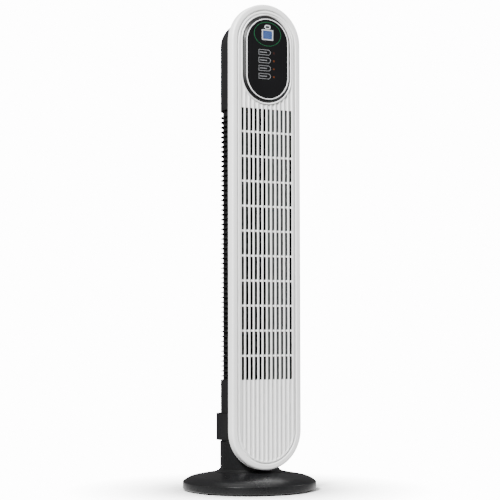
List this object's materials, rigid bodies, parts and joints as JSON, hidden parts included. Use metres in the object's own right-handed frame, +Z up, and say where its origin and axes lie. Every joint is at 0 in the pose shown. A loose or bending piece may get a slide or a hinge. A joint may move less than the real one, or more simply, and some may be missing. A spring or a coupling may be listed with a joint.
{
  "type": "tower fan",
  "caption": "Tall tower fan with a slotted stadium-shaped front, finned intake, cross-flow rotor and a round base on which the tower swings.",
  "frame": {"origin": "centre of the base disc on the floor, on the swing axis", "axes": "+Z up, the front grille faces -Y, +X to the right of someone looking along +Y at the front"},
  "size_m": [0.3, 0.3, 1.0869],
  "materials": {
    "gloss_black": "satin-gloss black moulded plastic",
    "matt_black": "fine-grained matt black moulded plastic",
    "white_plastic": "semi-gloss white moulded plastic",
    "grey_plastic": "plain grey moulded plastic",
    "steel_plate": "black-painted steel plate",
    "rubber_black": "soft black rubber",
    "zinc": "zinc-plated steel",
    "bright_steel": "polished bearing steel",
    "acetal": "natural acetal",
    "motor_case": "pressed and die-cast motor case",
    "laminations": "stacked steel laminations",
    "bronze": "oil-filled sintered bronze",
    "circuit_board": "green circuit board with its components",
    "trim_silver": "bright satin-silver trim",
    "lens_black": "high-gloss black lens",
    "print_white": "pale printed and moulded windows",
    "display_blue": "lit blue display",
    "light_green": "green light ring",
    "light_amber": "amber indicator lights",
    "key_black": "gloss black key with a pale outline"
  },
  "bodies": {
    "base": {"base_cover": "gloss_black", "base_plate": "steel_plate", "base_feet": "rubber_black", "base_screws": "zinc", "neck": "gloss_black", "neck_ring": "gloss_black", "neck_screws": "zinc", "swing_gear": "acetal", "race_lower": "bright_steel"},
    "ball_ring": {"bearing_cage": "acetal", "bearing_balls": "bright_steel"},
    "tower": {"race_upper": "bright_steel", "turntable": "matt_black", "pivot_washer": "bright_steel", "pivot_nut": "zinc", "swing_motor": "motor_case", "collar": "matt_black", "cord_gland": "rubber_black", "driver_board": "circuit_board", "run_capacitor": "white_plastic", "lower_shell": "matt_black", "motor_bracket": "motor_case", "motor_dampers": "rubber_black", "motor_lower_bell": "motor_case", "motor_stator": "laminations", "motor_upper_bell": "motor_case", "motor_bushes": "bronze", "duct_floor": "matt_black", "duct_ceiling": "matt_black", "duct_scroll": "grey_plastic", "duct_tongue": "matt_black", "bearing_rubber": "rubber_black", "top_bearing": "bronze", "intake_grille": "matt_black", "intake_screen": "matt_black", "top_cap": "matt_black", "housing_screws": "zinc", "front_carrier": "matt_black", "front_panel": "white_plastic", "front_grille": "white_plastic", "pod_surround": "white_plastic", "pod_bezel": "gloss_black", "pod_trim": "trim_silver", "pod_lens": "lens_black", "display_frame": "print_white", "display_panel": "display_blue", "ring_light": "light_green", "receiver_window": "print_white", "icon_lights": "light_amber", "control_board": "circuit_board", "key_switches": "matt_black"},
    "pinion": {"swing_pinion": "acetal"},
    "rotor": {"motor_rotor": "laminations", "motor_shaft": "bright_steel", "impeller": "matt_black", "impeller_axle": "bright_steel"},
    "power_key": {"power_key": "key_black"},
    "speed_key": {"speed_key": "key_black"},
    "timer_key": {"timer_key": "key_black"},
    "swing_key": {"swing_key": "key_black"}
  },
  "joints": [
    {"name": "tower_swing", "type": "hinge", "parent": "base", "child": "tower", "pos_m": [0, 0, 0.1097], "axis": [0, 0, 1], "range_deg": [-40, 40]},
    {"name": "ball_ring_roll", "type": "hinge", "parent": "base", "child": "ball_ring", "pos_m": [0, 0, 0.1127], "axis": [0, 0, 1], "range_deg": [-20, 20]},
    {"name": "pinion_turn", "type": "hinge", "parent": "tower", "child": "pinion", "pos_m": [0, 0.03, 0.1122], "axis": [0, 0, 1], "range_deg": [-80, 80]},
    {"name": "rotor_spin", "type": "hinge", "parent": "tower", "child": "rotor", "pos_m": [0, 0.0145, 0.55], "axis": [0, 0, 1], "continuous": true},
    {"name": "power_key_press", "type": "slide", "parent": "tower", "child": "power_key", "axis": [0, 1, 0], "range_m": [0, 0.0008], "stiffness_N_per_m": 500, "springref_m": -0.001},
    {"name": "speed_key_press", "type": "slide", "parent": "tower", "child": "speed_key", "axis": [0, 1, 0], "range_m": [0, 0.0008], "stiffness_N_per_m": 500, "springref_m": -0.001},
    {"name": "timer_key_press", "type": "slide", "parent": "tower", "child": "timer_key", "axis": [0, 1, 0], "range_m": [0, 0.0008], "stiffness_N_per_m": 500, "springref_m": -0.001},
    {"name": "swing_key_press", "type": "slide", "parent": "tower", "child": "swing_key", "axis": [0, 1, 0], "range_m": [0, 0.0008], "stiffness_N_per_m": 500, "springref_m": -0.001}
  ],
  "couplings": [
    {"joint": "pinion_turn", "follows": "tower_swing", "ratio": 2},
    {"joint": "ball_ring_roll", "follows": "tower_swing", "ratio": 0.5}
  ]
}
